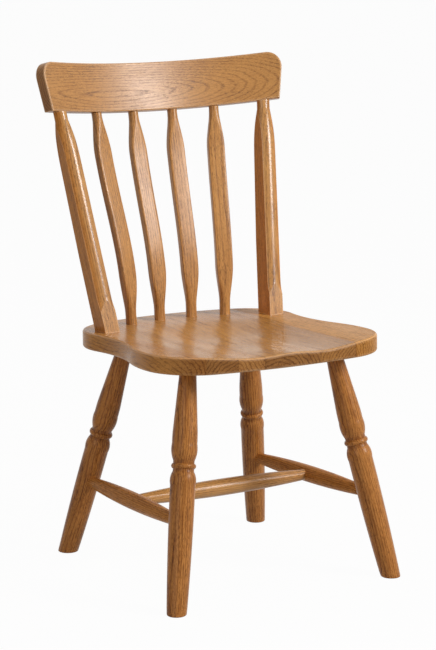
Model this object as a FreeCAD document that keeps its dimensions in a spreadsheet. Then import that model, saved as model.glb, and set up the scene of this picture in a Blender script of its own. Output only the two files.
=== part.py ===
import FreeCAD, Part
import math
import os

import Sketcher
from FreeCAD import Placement, Rotation, Vector

# A dining chair of turned and sawn oak, in millimetres. The origin is on the floor, in the middle of
# the chair's overall box. +X is to the right in the front view, and the sitter faces -Y.

doc = FreeCAD.newDocument("spindle_back_chair")
sheet = doc.addObject("Spreadsheet::Sheet", "Sizes")
sheet_rows = []


def add_size(alias, text, note):
    sheet_rows.append(alias)
    row = len(sheet_rows)
    sheet.set("A%d" % row, note)
    sheet.set("B%d" % row, text)
    sheet.setAlias("B%d" % row, alias)


def size(alias):
    return float(sheet.get(alias))


for alias, text, note in (
    # joints
    ("glue_gap", "0.1", "room for glue around each tenon"),
    ("bore_floor_gap", "1.5", "room for glue past the end of each tenon"),
    ("bore_run", "60", "length of the boring tool"),
    ("saw_reach", "400", "half size of the blocks that saw a piece to a plane"),
    # outline of the seat, drawn in its own sloping plane
    ("seat_thickness", "32", "thickness of the glued panel"),
    ("seat_slope_deg", "1.7", "fall of the seat towards the back"),
    ("seat_level", "447.7", "height of the panel's top above the origin"),
    ("seat_back", "209", "rear edge, behind the origin"),
    ("seat_front", "-270.3", "front edge, before the origin"),
    ("back_edge_r", "520", "bow of the rear edge"),
    ("rear_corner_r", "100", "radius of the rear corners"),
    ("rear_corner_x", "118", "centre of the rear corners"),
    ("waist_r", "290", "hollow of the sides"),
    ("waist_half_width", "210", "half width at the narrowest place"),
    ("side_r", "250", "swelling of the sides before the hollow"),
    ("seat_half_width", "235", "half width at the widest place"),
    ("front_corner_r", "105", "radius of the front corners"),
    ("front_corner_drop", "6", "front corners' centre before the widest place"),
    ("back_edge_y", "=seat_back - back_edge_r", "centre of the rear edge's bow"),
    ("rear_corner_y", "=back_edge_y + sqrt((back_edge_r - rear_corner_r)^2 - rear_corner_x^2)",
     "centre of the rear corners"),
    ("waist_x", "=waist_half_width + waist_r", "centre of the hollow"),
    ("waist_y", "=rear_corner_y - sqrt((waist_r + rear_corner_r)^2 - (waist_x - rear_corner_x)^2)",
     "centre of the hollow"),
    ("side_x", "=seat_half_width - side_r", "centre of the swelling"),
    ("side_y", "=waist_y - sqrt((waist_r + side_r)^2 - (waist_x - side_x)^2)", "centre of the swelling"),
    ("front_corner_x", "=side_x + sqrt((side_r - front_corner_r)^2 - front_corner_drop^2)",
     "centre of the front corners"),
    ("front_corner_y", "=side_y - front_corner_drop", "centre of the front corners"),
    ("front_run", "=front_corner_y - seat_front", "front edge to corner centre"),
    ("front_edge_r", "=(front_corner_x^2 + front_run^2 - front_corner_r^2) / 2 / (front_run - front_corner_r)",
     "bow of the front edge"),
    ("front_edge_y", "=seat_front + front_edge_r", "centre of the front edge's bow"),
    ("seat_edge_r", "4.5", "rounding of the panel's edges"),
    # hollow of the seat
    ("carving_room", "4", "extra height of the panel before it is carved"),
    ("panel_height", "=seat_thickness + carving_room", "height of the panel before it is carved"),
    ("scoop_depth", "13", "depth of the seat's hollow"),
    ("scoop_floor", "1.15", "above one, the hollow has a level floor"),
    ("scoop_half_width", "200", "half width of the hollow"),
    ("scoop_back", "100", "rear end of the hollow"),
    ("scoop_middle", "-60", "where the hollow begins to rise to the back"),
    ("pommel_height", "7.5", "ridge between the thighs, at the front edge"),
    ("pommel_width", "62", "half width of that ridge"),
    ("pommel_end", "-110", "where that ridge runs out"),
    # glue lines of the seat panel, from the middle
    ("glue_line_1", "-168", "between boards 1 and 2"),
    ("glue_line_2", "-108", "between boards 2 and 3"),
    ("glue_line_3", "-57", "between boards 3 and 4"),
    ("glue_line_4", "60", "between boards 4 and 5"),
    ("glue_line_5", "140", "between boards 5 and 6"),
    # places of the legs
    ("front_foot_x", "228", "front feet, from the middle"),
    ("front_foot_y", "-252.3", "front feet, from the origin"),
    ("rear_foot_x", "211.4", "rear feet, from the middle"),
    ("rear_foot_y", "199.9", "rear feet, from the origin"),
    ("front_lean_x", "-0.179", "sideways run per unit of height"),
    ("front_lean_y", "0.210", "backward run per unit of height"),
    ("rear_lean_x", "-0.186", "sideways run per unit of height"),
    ("rear_lean_y", "-0.236", "backward run per unit of height"),
    ("front_bead_height", "252", "bead above the floor, front legs"),
    ("rear_bead_height", "239", "bead above the floor, rear legs"),
    # turning of the legs, measured along their axes from the middle of the bead
    ("leg_foot_end", "-290", "end of the turning below the bead"),
    ("leg_foot_r", "16.7", "radius at that end"),
    ("leg_calf_end", "-34", "top of the long lower swelling"),
    ("leg_calf_r", "22.4", "radius there"),
    ("leg_calf_bow_r", "5200", "roundness of the lower swelling"),
    ("leg_ankle_end", "-9.5", "lower neck"),
    ("leg_neck_r", "19", "radius of the necks"),
    ("leg_shoulder_bow_r", "34", "roundness of the swelling's shoulder"),
    ("bead_top", "5", "upper end of the bead"),
    ("bead_bottom", "=-bead_top", "lower end of the bead"),
    ("bead_root_r", "18.8", "radius where the bead starts"),
    ("bead_bow_r", "5.4", "roundness of the bead"),
    ("leg_knee_start", "9.5", "upper neck"),
    ("leg_knee_end", "40", "top of the short swelling's rise"),
    ("leg_knee_r", "22.5", "radius there"),
    ("leg_knee_bow_r", "52", "roundness of that rise"),
    ("leg_taper_start", "60", "start of the upper taper"),
    ("leg_taper_r", "22.3", "radius there"),
    ("leg_taper_bow_r", "300", "roundness of the widest part"),
    ("leg_tenon_start", "167", "start of the tenon"),
    ("leg_tenon_r", "15", "radius of the tenon"),
    ("leg_tenon_depth", "22", "tenon inside the seat"),
    ("foot_edge_r", "2", "rounding around the foot"),
    # stretchers
    ("side_front_height", "156", "side stretcher at the front leg"),
    ("side_rear_height", "144", "side stretcher at the rear leg"),
    ("stretcher_end_r", "10.3", "radius at the ends and of the tenons"),
    ("stretcher_middle_r", "16", "radius at the middle"),
    ("stretcher_rise", "=stretcher_middle_r - stretcher_end_r", "height of the swelling"),
    ("side_swell_start", "27", "start of the swelling, from the leg's axis"),
    ("side_tenon_start", "5", "end of the tenon, from the leg's axis"),
    ("cross_swell_start", "17.5", "start of the swelling, from the side stretcher's axis"),
    ("cross_tenon_start", "3.5", "end of the tenon, from the side stretcher's axis"),
    # crest rail, drawn upright and then tilted
    ("rail_bend_r", "538", "bend of the front face"),
    ("rail_thickness", "21", "thickness"),
    ("rail_back_r", "=rail_bend_r + rail_thickness", "bend of the rear face"),
    ("rail_height", "92.5", "height of the front face"),
    ("rail_tilt_deg", "15.5", "tilt towards the back"),
    ("rail_y", "227.1", "front face at the middle, lower edge"),
    ("rail_level", "835.2", "height of the same place"),
    ("rail_bottom_arc", "254.5", "half length along the bend, lower edge"),
    ("rail_top_arc", "273", "half length along the bend, upper edge"),
    ("rail_board_angle_deg", "33", "half angle of the bent board before its ends are sawn"),
    ("rail_corner_r", "28", "rounding of the upper corners"),
    ("rail_edge_r", "2.5", "rounding of all edges"),
    # posts, measured along their axes from the seat
    ("post_base_x", "178.2", "foot of the post, from the middle"),
    ("post_base_y", "92.3", "foot of the post, behind the origin"),
    ("post_head_arc", "222.9", "head of the post, along the rail's bend"),
    ("post_width", "29.5", "width of the sawn blank"),
    ("post_depth", "42", "depth of the sawn blank"),
    ("post_low_end", "-30", "turning below the seat, sawn off later"),
    ("post_high_end", "440", "turning above the rail's edge, sawn off later"),
    ("post_blank_length", "=post_high_end - post_low_end", "length of the sawn blank"),
    ("post_axis_back", "4.2", "lathe axis behind the blank's middle, at the seat; they meet at the top"),
    ("post_square_r", "29.2", "turning radius at the square foot"),
    ("post_square_end", "35", "height of the square foot"),
    ("post_cove_r", "82", "roundness of the hollow that ends the square foot in a point"),
    ("post_round_start", "62", "where the turning becomes even"),
    ("post_low_r", "24.5", "turning radius there"),
    ("post_high_r", "21", "turning radius at the upper end"),
    ("post_taper_start", "318", "start of the upper taper"),
    ("post_taper_bow_r", "420", "roundness of the upper taper"),
    ("post_neck_start", "398", "start of the neck"),
    ("post_neck_r", "12.3", "radius of the neck"),
    ("post_tenon_r", "11", "radius of the foot's tenon"),
    ("post_tenon_depth", "22", "tenon inside the seat"),
    # tenons of posts and spindles in the rail
    ("head_tenon_r", "6", "radius"),
    ("head_tenon_depth", "30", "tenon inside the rail"),
    ("tenon_root", "12", "part of a tenon that is inside its own piece"),
    # spindles
    ("outer_base_x", "102.4", "outer spindles on the seat"),
    ("outer_base_y", "138", "same, behind the origin"),
    ("inner_base_x", "34.6", "inner spindles on the seat"),
    ("inner_base_y", "149.5", "same, behind the origin"),
    ("outer_head_arc", "126.1", "outer spindles along the rail's bend"),
    ("inner_head_arc", "41.65", "inner spindles along the rail's bend"),
    ("spindle_head_set", "2", "heads of the spindles, behind the middle of the rail"),
    ("spindle_foot_r", "10.4", "radius of the lower end"),
    ("spindle_neck_r", "9.5", "radius of the upper end"),
    ("spindle_width", "33", "width of the flat part"),
    ("spindle_flat", "15.5", "thickness of the flat part"),
    ("spindle_squareness", "6", "nought for an oval section, more for a squarer one"),
    ("spindle_bend", "12.5", "forward bend"),
    ("spindle_bend_at", "0.3", "place of the bend, share of the length"),
    ("spindle_bend_end", "0.85", "where the bend runs out, share of the length"),
    ("spindle_tenon_depth", "19", "tenon inside the seat"),
    ("spindle_low_neck", "22", "end of the lower neck above the seat"),
    ("spindle_low_full", "96", "start of the full width"),
    ("spindle_high_full", "82", "end of the full width below the rail"),
    ("spindle_high_neck", "12", "start of the upper neck below the rail"),
    ("spindle_overlength", "3", "length that is sawn off at the rail"),
):
    add_size(alias, text, note)
doc.recompute()

SIDES = (("left", -1), ("right", 1))
UP = Vector(0, 0, 1)


# planes and directions that several pieces share

def tilted_back(place, degrees):
    return Placement(place, Rotation(Vector(1, 0, 0), -degrees))


SEAT_PLACE = tilted_back(Vector(0, 0, size("seat_level")), size("seat_slope_deg"))
SEAT_UP = SEAT_PLACE.Rotation.multVec(UP)
RAIL_PLACE = tilted_back(Vector(0, size("rail_y"), size("rail_level")), size("rail_tilt_deg"))
BEND_CENTRE = Vector(0, -size("rail_bend_r"), 0)


def on_seat_top(x, y):
    fall = math.tan(math.radians(size("seat_slope_deg")))
    return Vector(x, y, size("seat_level") - fall * y)


def under_rail(arc, set_back):
    """A point on the rail's lower edge, set back from the middle of its thickness."""
    angle = arc / size("rail_bend_r")
    radius = size("rail_bend_r") + size("rail_thickness") / 2 + set_back
    return RAIL_PLACE.multVec(BEND_CENTRE + Vector(math.sin(angle), math.cos(angle), 0) * radius)


def along(start, end):
    step = end - start
    return step.normalize()


def turn_to(direction):
    return Rotation(UP, direction)


def ease(share):
    """Runs from nought to one with a level start and end."""
    share = min(1.0, max(0.0, share))
    return share * share * (3 - 2 * share)


# ways of working the wood

def bind(item, prop, expression):
    item.setExpression(prop, expression)


def body_with_sketch(name, role):
    body = doc.addObject("PartDesign::Body", name)
    sketch = body.newObject("Sketcher::SketchObject", name + "_sketch")
    plane = [item for item in body.Origin.OriginFeatures if item.Role == role][0]
    sketch.AttachmentSupport = [(plane, "")]
    sketch.MapMode = "FlatFace"
    return body, sketch


def hold_size(sketch, constraint, alias):
    index = sketch.addConstraint(constraint)
    bind(sketch, "Constraints[%d]" % index, "Sizes." + alias)


def hold_point(sketch, geo, pos, x_alias, y_alias):
    """Holds one end of a line or arc at sheet values; no x value stands for the axis."""
    if x_alias:
        hold_size(sketch, Sketcher.Constraint("DistanceX", -1, 1, geo, pos, size(x_alias)), x_alias)
    else:
        sketch.addConstraint(Sketcher.Constraint("PointOnObject", geo, pos, -2))
    hold_size(sketch, Sketcher.Constraint("DistanceY", -1, 1, geo, pos, size(y_alias)), y_alias)


# arcs of a turning that curve towards its axis; all others bulge
HOLLOWS = ("post_cove_r",)


def bowed(start, end, bow):
    """An arc from start to end with the roundness of that name."""
    radius = size(bow)
    chord = end - start
    sag = radius - math.sqrt(radius ** 2 - (chord.Length / 2) ** 2)
    outwards = -sag if bow in HOLLOWS else sag
    out = Vector(chord.y, -chord.x, 0).normalize()
    return Part.Arc(start, (start + end) * 0.5 + out * outwards, end)


def turned_body(name, profile):
    """A turning about Z. The profile runs upwards: radius, height and, for an arc, its roundness."""
    body, sketch = body_with_sketch(name, "XZ_Plane")
    corners = [(None, profile[0][1], None)] + profile + [(None, profile[-1][1], None)]
    points = [Vector(size(radius) if radius else 0, size(height), 0) for radius, height, bow in corners]
    tail = None
    for i, (radius, height, bow) in enumerate(corners):
        start = points[i]
        end = points[(i + 1) % len(points)]
        edge = bowed(start, end, bow) if bow else Part.LineSegment(start, end)
        geo = sketch.addGeometry(edge, False)
        runs_back = (sketch.getPoint(geo, 1) - start).Length > 1e-6
        head_pos, tail_pos = (2, 1) if runs_back else (1, 2)
        hold_point(sketch, geo, head_pos, radius, height)
        if bow:
            hold_size(sketch, Sketcher.Constraint("Radius", geo, size(bow)), bow)
        if tail:
            sketch.addConstraint(Sketcher.Constraint("Coincident", tail[0], tail[1], geo, head_pos))
        else:
            first = (geo, head_pos)
        tail = (geo, tail_pos)
    sketch.addConstraint(Sketcher.Constraint("Coincident", tail[0], tail[1], first[0], first[1]))
    doc.recompute()
    turning = body.newObject("PartDesign::Revolution", name + "_turning")
    turning.Profile = sketch
    turning.ReferenceAxis = (sketch, ["V_Axis"])
    turning.Angle = 360
    body.Tip = turning
    doc.recompute()
    return body


def padded_body(body, sketch, name, height_alias):
    doc.recompute()
    pad = body.newObject("PartDesign::Pad", name)
    pad.Profile = sketch
    bind(pad, "Length", "Sizes." + height_alias)
    body.Tip = pad
    doc.recompute()


def rod(name, start, direction, radius, length):
    """A cylinder; radius and length are written in sheet values."""
    item = doc.addObject("Part::Cylinder", name)
    bind(item, "Radius", radius)
    bind(item, "Height", length)
    item.Placement = Placement(start, turn_to(direction))
    return item


def bore(name, start, direction, radius_alias):
    return rod(name, start, direction, "Sizes.%s + Sizes.glue_gap" % radius_alias, "Sizes.bore_run")


def sawing_block(name, place, low, high):
    """A broad block between two heights above a plane; what it covers is sawn off."""
    item = doc.addObject("Part::Box", name)
    bind(item, "Length", "2 * Sizes.saw_reach")
    bind(item, "Width", "2 * Sizes.saw_reach")
    item.Height = high - low
    reach = size("saw_reach")
    item.Placement = place.multiply(Placement(Vector(-reach, -reach, low), Rotation()))
    return item


def cut_away(name, base, tools):
    item = base
    for number, tool in enumerate(tools, start=1):
        cut = doc.addObject("Part::Cut", name if number == len(tools) else "%s_cut_%d" % (name, number))
        cut.Base = item
        cut.Tool = tool
        item = cut
    doc.recompute()
    return item


def round_edges(name, base, radius_alias, chosen):
    doc.recompute()
    item = doc.addObject("Part::Fillet", name)
    item.Base = base
    radius = size(radius_alias)
    numbered = enumerate(base.Shape.Edges, start=1)
    item.Edges = [(number, radius, radius) for number, edge in numbered if chosen(edge)]
    doc.recompute()
    return item


def join(name, items):
    item = doc.addObject("Part::MultiFuse", name)
    item.Shapes = items
    doc.recompute()
    return item


pieces = {}
seat_bores = []
rail_bores = []

# legs

LEG_PROFILE = [
    ("leg_foot_r", "leg_foot_end", "leg_calf_bow_r"),
    ("leg_calf_r", "leg_calf_end", "leg_shoulder_bow_r"),
    ("leg_neck_r", "leg_ankle_end", None),
    ("bead_root_r", "bead_bottom", "bead_bow_r"),
    ("bead_root_r", "bead_top", None),
    ("leg_neck_r", "leg_knee_start", "leg_knee_bow_r"),
    ("leg_knee_r", "leg_knee_end", "leg_taper_bow_r"),
    ("leg_taper_r", "leg_taper_start", None),
    ("leg_tenon_r", "leg_tenon_start", None),
]


def leg_lean(end, side):
    return Vector(side * size(end + "_lean_x"), size(end + "_lean_y"), 1)


def leg_at(end, side, height):
    foot = Vector(side * size(end + "_foot_x"), size(end + "_foot_y"), 0)
    return foot + leg_lean(end, side) * height


def reach_to_seat(start, direction):
    """Distance from a point, along a direction, to the seat's lower face."""
    lower_face = SEAT_PLACE.Base - SEAT_UP * size("seat_thickness")
    return (lower_face - start).dot(SEAT_UP) / direction.dot(SEAT_UP)


def side_line(side):
    """Ends of a side stretcher's axis, on the axes of its rear and front leg."""
    return leg_at("rear", side, size("side_rear_height")), leg_at("front", side, size("side_front_height"))


def on_the_floor(edge):
    tolerance = 0.01
    return edge.BoundBox.ZMax < tolerance


below_floor = sawing_block("below_floor", Placement(), -size("saw_reach"), 0)
for end in ("front", "rear"):
    bead = leg_at(end, 1, size(end + "_bead_height"))
    reach = reach_to_seat(bead, leg_lean(end, 1).normalize())
    add_size(end + "_leg_top", "=%.3f + leg_tenon_depth" % reach, "end of the %s legs' tenons" % end)
    doc.recompute()
    for word, side in SIDES:
        name = "%s_%s_leg" % (end, word)
        bead = leg_at(end, side, size(end + "_bead_height"))
        upward = leg_lean(end, side).normalize()
        blank = turned_body(name + "_blank", LEG_PROFILE + [("leg_tenon_r", end + "_leg_top", None)])
        blank.Placement = Placement(bead, turn_to(upward))
        rear_point, front_point = side_line(side)
        near, far = (front_point, rear_point) if end == "front" else (rear_point, front_point)
        inward = along(near, far)
        bore_floor = near + inward * (size("side_tenon_start") - size("bore_floor_gap"))
        stretcher_bore = bore(name + "_bore", bore_floor, inward, "stretcher_end_r")
        sawn = cut_away(name + "_sawn", blank, [below_floor, stretcher_bore])
        pieces[name] = round_edges(name, sawn, "foot_edge_r", on_the_floor)
        bore_floor = bead + upward * (size(end + "_leg_top") + size("bore_floor_gap"))
        seat_bores.append(bore(name + "_seat_bore", bore_floor, upward * -1, "leg_tenon_r"))

# stretchers


def middle_of(line):
    return (line[0] + line[1]) * 0.5


cross_line = (middle_of(side_line(-1)), middle_of(side_line(1)))
for kind, line in (("side", side_line(1)), ("cross", cross_line)):
    add_size(kind + "_length", "%.3f" % (line[1] - line[0]).Length, "between the axes it joins")
    add_size(kind + "_half_swell", "={0}_length / 2 - {0}_swell_start".format(kind), "half the swelling")
    add_size(kind + "_bow_r", "=({0}_half_swell^2 / stretcher_rise + stretcher_rise) / 2".format(kind),
             "roundness of the swelling")
    add_size(kind + "_swell_end", "={0}_length - {0}_swell_start".format(kind), "other end of it")
    add_size(kind + "_tenon_end", "={0}_length - {0}_tenon_start".format(kind), "end of the other tenon")
doc.recompute()


def stretcher_body(name, kind, line):
    profile = [
        ("stretcher_end_r", kind + "_tenon_start", None),
        ("stretcher_end_r", kind + "_swell_start", kind + "_bow_r"),
        ("stretcher_end_r", kind + "_swell_end", None),
        ("stretcher_end_r", kind + "_tenon_end", None),
    ]
    body = turned_body(name, profile)
    body.Placement = Placement(line[0], turn_to(along(line[0], line[1])))
    return body


for word, side in SIDES:
    name = word + "_side_stretcher"
    blank = stretcher_body(name + "_blank", "side", side_line(side))
    inward = Vector(-side, 0, 0)
    bore_floor = middle_of(side_line(side)) + inward * (size("cross_tenon_start") - size("bore_floor_gap"))
    pieces[name] = cut_away(name, blank, [bore(name + "_bore", bore_floor, inward, "stretcher_end_r")])
pieces["cross_stretcher"] = stretcher_body("cross_stretcher", "cross", cross_line)

# back posts

POST_PROFILE = [
    ("post_square_r", "post_low_end", None),
    ("post_square_r", "post_square_end", "post_cove_r"),
    ("post_low_r", "post_round_start", None),
    ("post_high_r", "post_taper_start", "post_taper_bow_r"),
    ("post_neck_r", "post_neck_start", None),
    ("post_neck_r", "post_high_end", None),
]
# the lathe axis leans in the blank, so the turning takes more from the front than from the back
axis_angle = math.degrees(math.atan2(size("post_axis_back"), size("post_high_end")))
lathe_axis = Placement(Vector(0, size("post_axis_back"), 0), Rotation(Vector(1, 0, 0), axis_angle))
under_seat_top = sawing_block("under_seat_top", SEAT_PLACE, -size("saw_reach"), size("glue_gap"))
above_rail_bottom = sawing_block("above_rail_bottom", RAIL_PLACE, 0, size("saw_reach"))


def add_upright_bores(name, base, head, foot_r, foot_depth):
    upward = along(base, head)
    low = base - upward * (size(foot_depth) + size("bore_floor_gap"))
    high = head + upward * (size("head_tenon_depth") + size("bore_floor_gap"))
    seat_bores.append(bore(name + "_seat_bore", low, upward, foot_r))
    rail_bores.append(bore(name + "_rail_bore", high, upward * -1, "head_tenon_r"))


def head_tenon(name, head, upward):
    start = head - upward * size("tenon_root")
    length = "Sizes.head_tenon_depth + Sizes.tenon_root"
    return rod(name + "_head_tenon", start, upward, "Sizes.head_tenon_r", length)


def foot_tenon(name, base, upward):
    start = base - upward * size("post_tenon_depth")
    length = "Sizes.post_tenon_depth + Sizes.tenon_root"
    return rod(name + "_foot_tenon", start, upward, "Sizes.post_tenon_r", length)


for word, side in SIDES:
    name = word + "_post"
    base = on_seat_top(side * size("post_base_x"), size("post_base_y"))
    head = under_rail(side * size("post_head_arc"), 0)
    add_upright_bores(name, base, head, "post_tenon_r", "post_tenon_depth")
    upward = along(base, head)
    # the blank's narrow sides face front and back
    across = Vector(0, 1, 0).cross(upward).normalize()
    place = Placement(base, Rotation(across, upward.cross(across), upward, "ZXY"))
    turning = turned_body(name + "_turned", POST_PROFILE)
    turning.Placement = place.multiply(lathe_axis)
    blank = doc.addObject("Part::Box", name + "_blank")
    bind(blank, "Length", "Sizes.post_width")
    bind(blank, "Width", "Sizes.post_depth")
    bind(blank, "Height", "Sizes.post_blank_length")
    corner = Vector(-size("post_width") / 2, -size("post_depth") / 2, size("post_low_end"))
    blank.Placement = place.multiply(Placement(corner, Rotation()))
    shaft = doc.addObject("Part::Common", name + "_shaft")
    shaft.Base = blank
    shaft.Tool = turning
    sawn = cut_away(name + "_sawn", shaft, [under_seat_top, above_rail_bottom])
    pieces[name] = join(name, [sawn, foot_tenon(name, base, upward), head_tenon(name, head, upward)])

# spindles, round at both ends, flat between, and bent forward below the middle

SECTION_POINTS = 24
SECTIONS = 22


def share_between(value, low, high):
    return ease((value - size(low)) / (size(high) - size(low)))


def spindle_forward(share):
    warp = math.log(0.5) / math.log(size("spindle_bend_at") / size("spindle_bend_end"))
    turn = min(1.0, share / size("spindle_bend_end")) ** warp
    return size("spindle_bend") * (1 - math.cos(2 * math.pi * turn)) / 2


def spindle_section(height, length):
    """Closed outline of a spindle at one height above the seat, in the spindle's own frame."""
    low_share = share_between(height, "spindle_low_neck", "spindle_low_full")
    high_share = share_between(length - height, "spindle_high_neck", "spindle_high_full")
    flat = min(low_share, high_share)
    end_r = size("spindle_foot_r") if height < length / 2 else size("spindle_neck_r")
    half_width = end_r + flat * (size("spindle_width") / 2 - end_r)
    half_depth = end_r + flat * (size("spindle_flat") / 2 - end_r)
    power = 2 / (2 + size("spindle_squareness") * flat)
    forward = spindle_forward(height / length)
    points = []
    for step in range(SECTION_POINTS):
        angle = 2 * math.pi * step / SECTION_POINTS
        x = half_width * math.copysign(abs(math.cos(angle)) ** power, math.cos(angle))
        y = half_depth * math.copysign(abs(math.sin(angle)) ** power, math.sin(angle))
        points.append(Vector(x, y - forward, height))
    curve = Part.BSplineCurve()
    curve.interpolate(points, PeriodicFlag=True)
    return Part.Wire([curve.toShape()])


def spindle_shape(length):
    start = size("tenon_root")
    heights = [start + (length - start) * i / SECTIONS for i in range(SECTIONS + 1)]
    shaft = Part.makeLoft([spindle_section(height, length) for height in heights], True)
    tenon_depth = size("spindle_tenon_depth")
    foot = Part.makeCylinder(size("spindle_foot_r"), tenon_depth + start, UP * -tenon_depth)
    return shaft.fuse(foot)


SPINDLE_PLACES = (("outer", -1), ("inner", -1), ("inner", 1), ("outer", 1))
for number, (row, side) in enumerate(SPINDLE_PLACES, start=1):
    name = "spindle_%d" % number
    base = on_seat_top(side * size(row + "_base_x"), size(row + "_base_y"))
    head = under_rail(side * size(row + "_head_arc"), size("spindle_head_set"))
    add_upright_bores(name, base, head, "spindle_foot_r", "spindle_tenon_depth")
    upward = along(base, head)
    # the broad face follows the bend of the rail
    facing = side * size(row + "_head_arc") / size("rail_bend_r")
    across = Vector(math.cos(facing), -math.sin(facing), 0)
    across = (across - upward * across.dot(upward)).normalize()
    shaft = doc.addObject("Part::Feature", name + "_shaft")
    shaft.Shape = spindle_shape((head - base).Length + size("spindle_overlength"))
    shaft.Placement = Placement(base, Rotation(across, upward.cross(across), upward, "ZXY"))
    sawn = cut_away(name + "_sawn", shaft, [above_rail_bottom])
    pieces[name] = join(name, [sawn, head_tenon(name, head, upward)])

# crest rail, a bent board with sloping ends and rounded upper corners

rail_body, rail_sketch = body_with_sketch("crest_rail_board", "XY_Plane")
half_angle = math.radians(size("rail_board_angle_deg"))
rail_arcs = []
for alias in ("rail_bend_r", "rail_back_r"):
    circle = Part.Circle(BEND_CENTRE, UP, size(alias))
    geo = rail_sketch.addGeometry(
        Part.ArcOfCircle(circle, math.pi / 2 - half_angle, math.pi / 2 + half_angle), False
    )
    hold_size(rail_sketch, Sketcher.Constraint("Radius", geo, size(alias)), alias)
    rail_arcs.append(geo)
front_arc, rear_arc = rail_arcs
rail_sketch.addConstraint(Sketcher.Constraint("PointOnObject", front_arc, 3, -2))
rail_sketch.addConstraint(Sketcher.Constraint("Coincident", front_arc, 3, rear_arc, 3))
hold_size(
    rail_sketch,
    Sketcher.Constraint("DistanceY", front_arc, 3, -1, 1, size("rail_bend_r")),
    "rail_bend_r",
)
for pos in (1, 2):
    end_line = Part.LineSegment(rail_sketch.getPoint(front_arc, pos), rail_sketch.getPoint(rear_arc, pos))
    geo = rail_sketch.addGeometry(end_line, False)
    rail_sketch.addConstraint(Sketcher.Constraint("Coincident", geo, 1, front_arc, pos))
    rail_sketch.addConstraint(Sketcher.Constraint("Coincident", geo, 2, rear_arc, pos))
padded_body(rail_body, rail_sketch, "crest_rail_pad", "rail_height")
rail_body.Placement = RAIL_PLACE

end_slope = math.degrees(math.atan2(size("rail_top_arc") - size("rail_bottom_arc"), size("rail_height")))
end_angle = math.degrees(size("rail_bottom_arc") / size("rail_bend_r"))
end_blocks = []
for word, side in SIDES:
    swing = Placement(BEND_CENTRE, Rotation(UP, -side * end_angle))
    # the block's lower face is the sawn end, so its up direction points out of the rail
    outward = Rotation(Vector(0, 1, 0), side * (90 + end_slope))
    lean = Placement(Vector(0, size("rail_bend_r"), 0), outward)
    place = RAIL_PLACE.multiply(swing).multiply(lean)
    end_blocks.append(sawing_block("rail_%s_end" % word, place, 0, size("rail_height")))
rail_sawn = cut_away("crest_rail_sawn", rail_body, end_blocks)


def crosses_thickness(edge):
    """True for the short edges from the front face to the rear face, which lean a little."""
    lean_room = 1.3
    return edge.Length < lean_room * size("rail_thickness")


def upper_corner(edge):
    height = RAIL_PLACE.inverse().multVec(edge.CenterOfMass).z
    return crosses_thickness(edge) and height > size("rail_height") - 1


def long_arris(edge):
    return not crosses_thickness(edge)


rail_cornered = round_edges("crest_rail_cornered", rail_sawn, "rail_corner_r", upper_corner)
rail_rounded = round_edges("crest_rail_rounded", rail_cornered, "rail_edge_r", long_arris)
pieces["crest_rail"] = cut_away("crest_rail", rail_rounded, rail_bores)

# seat panel, sawn to its outline, carved, rounded, bored and shown as its boards

seat_body, seat_sketch = body_with_sketch("seat_panel", "XY_Plane")


def tangent_point(centre, toward, radius):
    return centre + along(centre, toward) * radius


def seat_centre(place, side):
    return Vector(side * size(place + "_x"), size(place + "_y"), 0)


# direction from a corner's centre to a point that its arc runs through
CORNER_X = 0.8
CORNER_Y = 0.6
back_centre = Vector(0, size("back_edge_y"), 0)
front_centre = Vector(0, size("front_edge_y"), 0)
outline = []
back_joints = []
front_joints = []
for word, side in SIDES:
    rear = seat_centre("rear_corner", side)
    waist = seat_centre("waist", side)
    swell = seat_centre("side", side)
    front = seat_centre("front_corner", side)
    back_joint = tangent_point(back_centre, rear, size("back_edge_r"))
    rear_joint = tangent_point(rear, waist, size("rear_corner_r"))
    waist_joint = tangent_point(swell, waist, size("side_r"))
    side_joint = tangent_point(swell, front, size("side_r"))
    front_joint = tangent_point(front_centre, front, size("front_edge_r"))
    rear_far = rear + Vector(side * CORNER_X, CORNER_Y, 0) * size("rear_corner_r")
    waist_near = waist - Vector(side, 0, 0) * size("waist_r")
    side_far = swell + Vector(side, 0, 0) * size("side_r")
    front_far = front + Vector(side * CORNER_X, -CORNER_Y, 0) * size("front_corner_r")
    outline.append((back_joint, rear_far, rear_joint, "rear_corner_r"))
    outline.append((rear_joint, waist_near, waist_joint, "waist_r"))
    outline.append((waist_joint, side_far, side_joint, "side_r"))
    outline.append((side_joint, front_far, front_joint, "front_corner_r"))
    back_joints.append(back_joint)
    front_joints.append(front_joint)
outline.append((back_joints[0], Vector(0, size("seat_back"), 0), back_joints[1], "back_edge_r"))
outline.append((front_joints[0], Vector(0, size("seat_front"), 0), front_joints[1], "front_edge_r"))

arc_ends = []
for start, through, stop, alias in outline:
    geo = seat_sketch.addGeometry(Part.Arc(start, through, stop), False)
    hold_size(seat_sketch, Sketcher.Constraint("Radius", geo, size(alias)), alias)
    for pos in (1, 2):
        here = seat_sketch.getPoint(geo, pos)
        for other, other_pos, place in arc_ends:
            if (place - here).Length < 1e-4:
                seat_sketch.addConstraint(Sketcher.Constraint("Coincident", other, other_pos, geo, pos))
        arc_ends.append((geo, pos, here))
padded_body(seat_body, seat_sketch, "seat_panel_pad", "panel_height")
seat_body.Placement = Placement(UP * -size("seat_thickness"), Rotation())


def carved_height(x, y):
    """The carved surface against the panel's flat rim; nought outside the hollow."""
    back_run = max(0.0, (y - size("scoop_middle")) / (size("scoop_back") - size("scoop_middle")))
    away = math.hypot(x / size("scoop_half_width"), back_run)
    hollow = size("scoop_depth") * ease(size("scoop_floor") * (1 - away))
    front_share = ease((size("pommel_end") - y) / (size("pommel_end") - size("seat_front")))
    ridge = size("pommel_height") * front_share * math.exp(-(x / size("pommel_width")) ** 2)
    return -max(0.0, hollow - ridge)


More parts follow.
